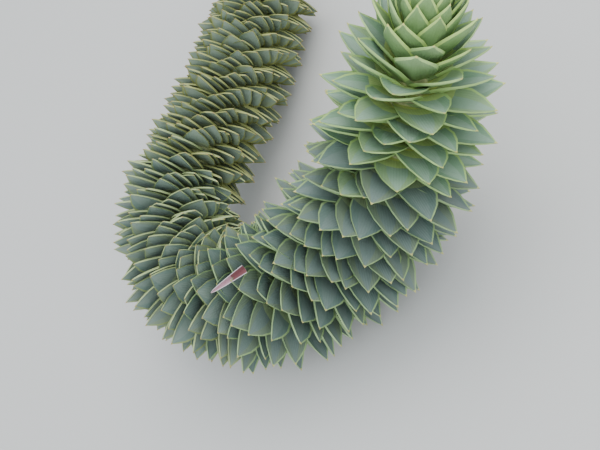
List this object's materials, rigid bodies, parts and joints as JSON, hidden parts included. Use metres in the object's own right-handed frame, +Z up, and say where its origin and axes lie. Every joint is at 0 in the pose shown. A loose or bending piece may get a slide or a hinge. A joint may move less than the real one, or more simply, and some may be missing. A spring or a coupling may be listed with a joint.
{
  "type": "monkey puzzle tree branch",
  "caption": "Cut, leafy branch of a monkey puzzle tree: a woody stem curled in a hook, clad all round in stiff, sharp, overlapping triangular leaves, with an upturned bud.",
  "frame": {"origin": "on the ground, under the middle of the branch's outline as it lies", "axes": "+Z up; +Y level, along the branch's longest side, from its bud towards its cut end; +X level, out of the open side of the hook"},
  "size_m": [0.2217, 0.2629, 0.1376],
  "materials": {
    "leaf": "waxy blue-green leaf with a pale yellow-green rim",
    "young_leaf": "waxy fresh green leaf",
    "stem": "rough brown bark over pale sawn wood"
  },
  "bodies": {
    "root": {"stem_1": "stem", "stem_2": "stem", "stem_3": "stem", "stem_4": "stem", "bud": "young_leaf", "foliage_1": "leaf", "foliage_2": "leaf", "foliage_3": "leaf", "foliage_4": "leaf", "foliage_5": "leaf", "foliage_6": "leaf", "foliage_7": "leaf", "foliage_8": "leaf", "foliage_9": "leaf", "foliage_10": "leaf"}
  },
  "joints": []
}
